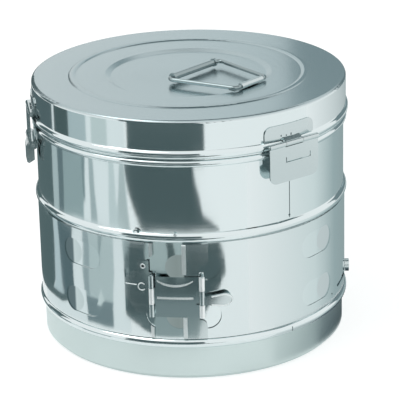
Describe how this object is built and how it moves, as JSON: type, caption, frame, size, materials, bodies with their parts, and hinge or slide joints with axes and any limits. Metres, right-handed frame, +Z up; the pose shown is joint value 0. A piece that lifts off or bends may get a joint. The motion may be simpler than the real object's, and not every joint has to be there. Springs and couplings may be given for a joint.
{
  "type": "sterilization container",
  "caption": "Round stainless steel sterilizing drum with a sliding steam band, hinged lid, snap clasps and a drop handle on the lid",
  "frame": {"origin": "on the drum's axis, on the surface that the foot ring stands on", "axes": "+Z up along the drum's axis, -Y towards the band clasp, +X to the right seen from the clasp"},
  "size_m": [0.3057, 0.3018, 0.257],
  "materials": {
    "polished_steel": "mirror-polished stainless sheet",
    "satin_steel": "fine satin stainless sheet",
    "fitting_steel": "bright tumbled stainless pressings",
    "wire_steel": "bright drawn stainless wire and bar"
  },
  "bodies": {
    "drum": {"body_shell": "polished_steel", "foot_ring": "satin_steel", "base_pan": "polished_steel", "band_stop_stud": "fitting_steel", "hinge_body_plate": "fitting_steel", "hinge_pin": "wire_steel", "left_catch": "fitting_steel", "rear_catch": "fitting_steel"},
    "lid": {"lid_shell": "satin_steel", "hinge_lid_leaf": "fitting_steel", "left_clasp_leaf": "fitting_steel", "left_clasp_pin": "wire_steel", "rear_clasp_leaf": "fitting_steel", "rear_clasp_pin": "wire_steel", "handle_strap": "fitting_steel"},
    "left_hasp": {"left_hasp": "fitting_steel", "left_lever_pin": "wire_steel"},
    "left_lever": {"left_lever": "fitting_steel"},
    "rear_hasp": {"rear_hasp": "fitting_steel", "rear_lever_pin": "wire_steel"},
    "rear_lever": {"rear_lever": "fitting_steel"},
    "band": {"steam_band": "polished_steel", "band_clasp_leaf": "fitting_steel", "band_clasp_pin": "wire_steel", "band_catch_bracket": "fitting_steel", "band_rivets": "wire_steel"},
    "band_hasp": {"band_hasp": "fitting_steel", "band_lever_pin": "wire_steel"},
    "band_lever": {"band_lever": "fitting_steel"},
    "handle": {"handle_bail": "wire_steel", "handle_grip": "wire_steel", "handle_collars": "wire_steel"}
  },
  "joints": [
    {"name": "lid_hinge", "type": "hinge", "parent": "drum", "child": "lid", "pos_m": [0.0919, -0.12107, 0.2195], "axis": [0.7965, 0.6046, 0], "range_deg": [0, 110]},
    {"name": "band_slide", "type": "hinge", "parent": "drum", "child": "band", "pos_m": [0, 0, 0.088], "axis": [0, 0, 1], "range_deg": [0, 19]},
    {"name": "band_hasp_swing", "type": "hinge", "parent": "band", "child": "band_hasp", "pos_m": [-0.03816, -0.14444, 0.084], "axis": [0, 0, -1], "range_deg": [0, 120]},
    {"name": "band_lever_turn", "type": "hinge", "parent": "band_hasp", "child": "band_lever", "pos_m": [0.00732, -0.14972, 0.083], "axis": [0, 0, -1], "range_deg": [0, 110]},
    {"name": "handle_swing", "type": "hinge", "parent": "lid", "child": "handle", "pos_m": [0.05706, -0.0496, 0.2531], "axis": [0.6561, 0.7547, 0], "range_deg": [0, 100]},
    {"name": "left_hasp_swing", "type": "hinge", "parent": "lid", "child": "left_hasp", "pos_m": [-0.14894, -0.02093, 0.2246], "axis": [-0.1392, 0.9903, 0], "range_deg": [0, 110]},
    {"name": "left_lever_turn", "type": "hinge", "parent": "left_hasp", "child": "left_lever", "pos_m": [-0.14824, -0.02083, 0.1946], "axis": [-0.1392, 0.9903, 0], "range_deg": [0, 90]},
    {"name": "rear_hasp_swing", "type": "hinge", "parent": "lid", "child": "rear_hasp", "pos_m": [0.05877, 0.13844, 0.2246], "axis": [0.9205, -0.3907, 0], "range_deg": [0, 110]},
    {"name": "rear_lever_turn", "type": "hinge", "parent": "rear_hasp", "child": "rear_lever", "pos_m": [0.05849, 0.1378, 0.1946], "axis": [0.9205, -0.3907, 0], "range_deg": [0, 90]}
  ]
}
